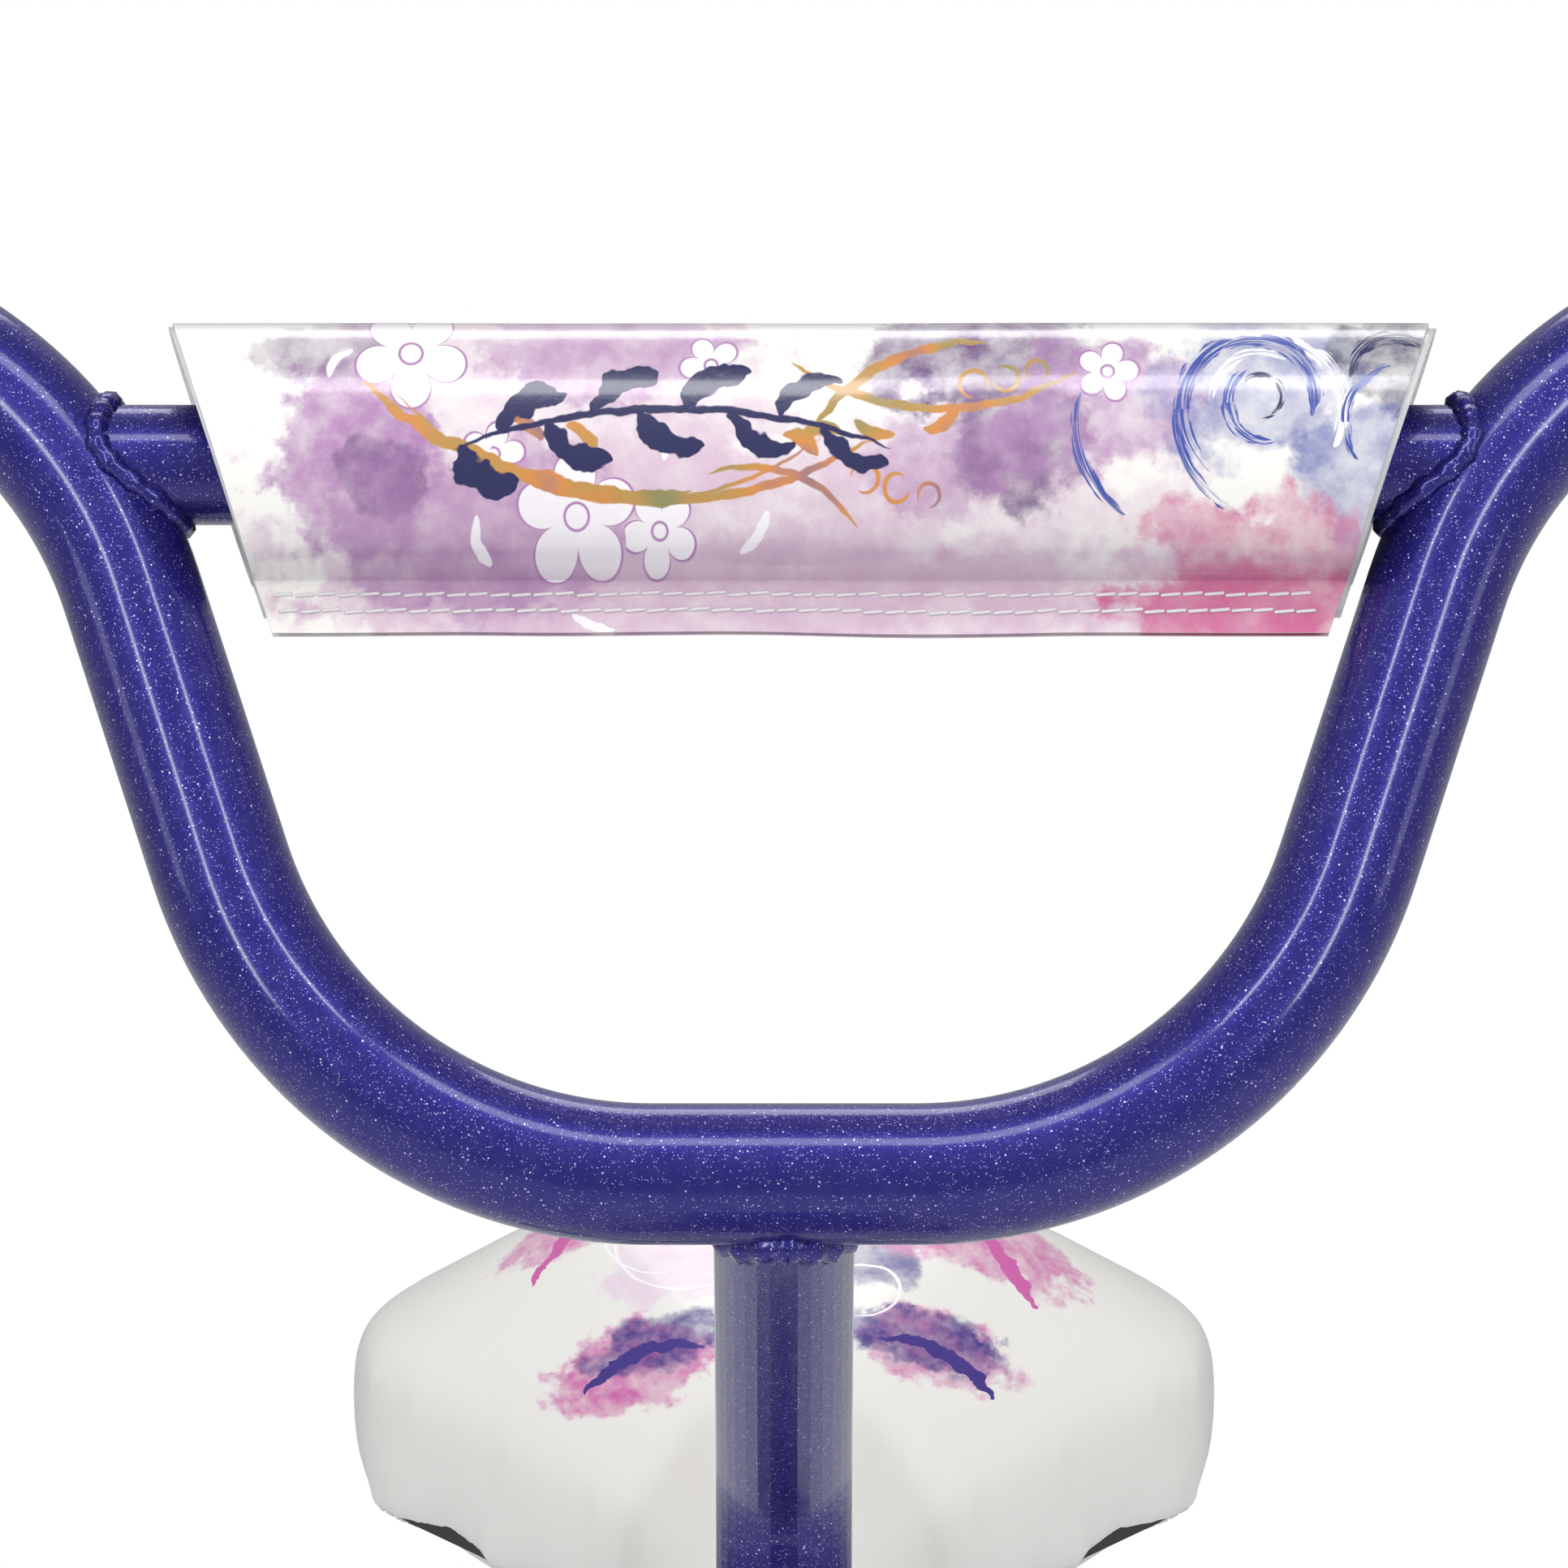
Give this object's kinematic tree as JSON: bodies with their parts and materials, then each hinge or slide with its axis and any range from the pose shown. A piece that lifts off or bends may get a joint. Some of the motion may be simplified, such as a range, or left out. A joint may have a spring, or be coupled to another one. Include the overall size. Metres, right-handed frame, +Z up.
{
  "type": "children's bmx bicycle",
  "caption": "Children's BMX-style bicycle with a padded crossbar handlebar, printed saddle, single-speed chain drive, back-pedal brake and folding kickstand.",
  "frame": {"origin": "on the floor, straight under the bottom bracket, in the bicycle's middle plane", "axes": "+X forward, +Y to the rider's left, +Z up"},
  "size_m": [1.4254, 0.6132, 0.9464],
  "materials": {
    "violet_paint": "gloss",
    "white_vinyl": "satin",
    "white_rubber": "satin",
    "white_plastic": "gloss",
    "steel": "polished",
    "zinc_steel": "satin",
    "chain_steel": "satin",
    "aluminium": "satin",
    "tyre_rubber": "matte",
    "inner_rubber": "matte",
    "black_plastic": "matte",
    "clear_reflector": "gloss",
    "amber_reflector": "gloss"
  },
  "bodies": {
    "frame": {"head_tube": "violet_paint", "top_tube": "violet_paint", "down_tube": "violet_paint", "seat_tube": "violet_paint", "bottom_bracket_shell": "violet_paint", "chain_stays": "violet_paint", "seat_stays": "violet_paint", "rear_dropouts": "violet_paint", "headset_cups": "steel", "headset_balls": "zinc_steel", "crank_balls": "zinc_steel", "bottom_bracket_cups": "steel", "seat_collar": "steel", "chain_guard": "white_plastic", "chain": "chain_steel", "rear_axle": "zinc_steel", "rear_axle_nuts": "zinc_steel", "brake_arm": "zinc_steel", "kickstand_bracket": "zinc_steel"},
    "fork": {"steerer_tube": "violet_paint", "fork_blades": "violet_paint", "crown_race": "steel", "headset_nuts": "steel", "stem": "violet_paint", "stem_expander": "zinc_steel", "handlebar": "violet_paint", "crossbar": "violet_paint", "handlebar_pad": "white_vinyl", "grip_left": "white_rubber", "grip_right": "white_rubber", "front_reflector": "clear_reflector", "front_axle": "zinc_steel", "front_axle_nuts": "zinc_steel"},
    "front_wheel": {"front_tyre": "tyre_rubber", "front_rim": "aluminium", "front_spokes": "zinc_steel", "front_hub": "aluminium", "front_inner_tube": "inner_rubber", "front_wheel_reflector": "amber_reflector"},
    "rear_wheel": {"rear_tyre": "tyre_rubber", "rear_rim": "aluminium", "rear_spokes": "zinc_steel", "rear_hub": "aluminium", "rear_inner_tube": "inner_rubber", "rear_wheel_reflector": "amber_reflector"},
    "driver": {"rear_sprocket": "zinc_steel"},
    "crankset": {"crank": "steel", "chainring": "steel", "crank_cones": "steel", "pedal_spindles": "zinc_steel"},
    "left_pedal": {"pedal_left": "black_plastic", "pedal_reflectors_left": "amber_reflector"},
    "right_pedal": {"pedal_right": "black_plastic", "pedal_reflectors_right": "amber_reflector"},
    "saddle": {"seat_post": "steel", "saddle_clamp": "zinc_steel", "saddle_rails": "steel", "saddle_base": "black_plastic", "saddle_pad": "white_vinyl"},
    "stand": {"kickstand": "steel"}
  },
  "joints": [
    {"name": "steering", "type": "hinge", "parent": "frame", "child": "fork", "pos_m": [0.52993, 0, 0.23905], "axis": [-0.342, 0, 0.9397], "continuous": true},
    {"name": "front_wheel_spin", "type": "hinge", "parent": "fork", "child": "front_wheel", "pos_m": [0.56, 0, 0.25], "axis": [0, 1, 0], "continuous": true},
    {"name": "rear_wheel_spin", "type": "hinge", "parent": "frame", "child": "rear_wheel", "pos_m": [-0.36552, 0, 0.25], "axis": [0, 1, 0], "continuous": true},
    {"name": "crank_spin", "type": "hinge", "parent": "frame", "child": "crankset", "pos_m": [0, 0, 0.27], "axis": [0, 1, 0], "continuous": true, "deforming": ["chain"]},
    {"name": "sprocket_spin", "type": "hinge", "parent": "frame", "child": "driver", "pos_m": [-0.36552, 0, 0.25], "axis": [0, 1, 0], "continuous": true, "deforming": ["chain"]},
    {"name": "pedal_left_spin", "type": "hinge", "parent": "crankset", "child": "left_pedal", "pos_m": [-0.14, 0.1, 0.27], "axis": [0, 1, 0], "continuous": true},
    {"name": "pedal_right_spin", "type": "hinge", "parent": "crankset", "child": "right_pedal", "pos_m": [0.14, -0.1, 0.27], "axis": [0, 1, 0], "continuous": true},
    {"name": "kickstand_fold", "type": "hinge", "parent": "frame", "child": "stand", "pos_m": [-0.07786, 0.034, 0.23263], "axis": [0.0076, -0.8111, -0.5849], "range_deg": [0, 86.43]},
    {"name": "saddle_height", "type": "slide", "parent": "frame", "child": "saddle", "axis": [-0.342, 0, 0.9397], "range_m": [-0.02, 0.055]}
  ],
  "couplings": [
    {"joint": "sprocket_spin", "follows": "crank_spin", "ratio": 2.25}
  ]
}
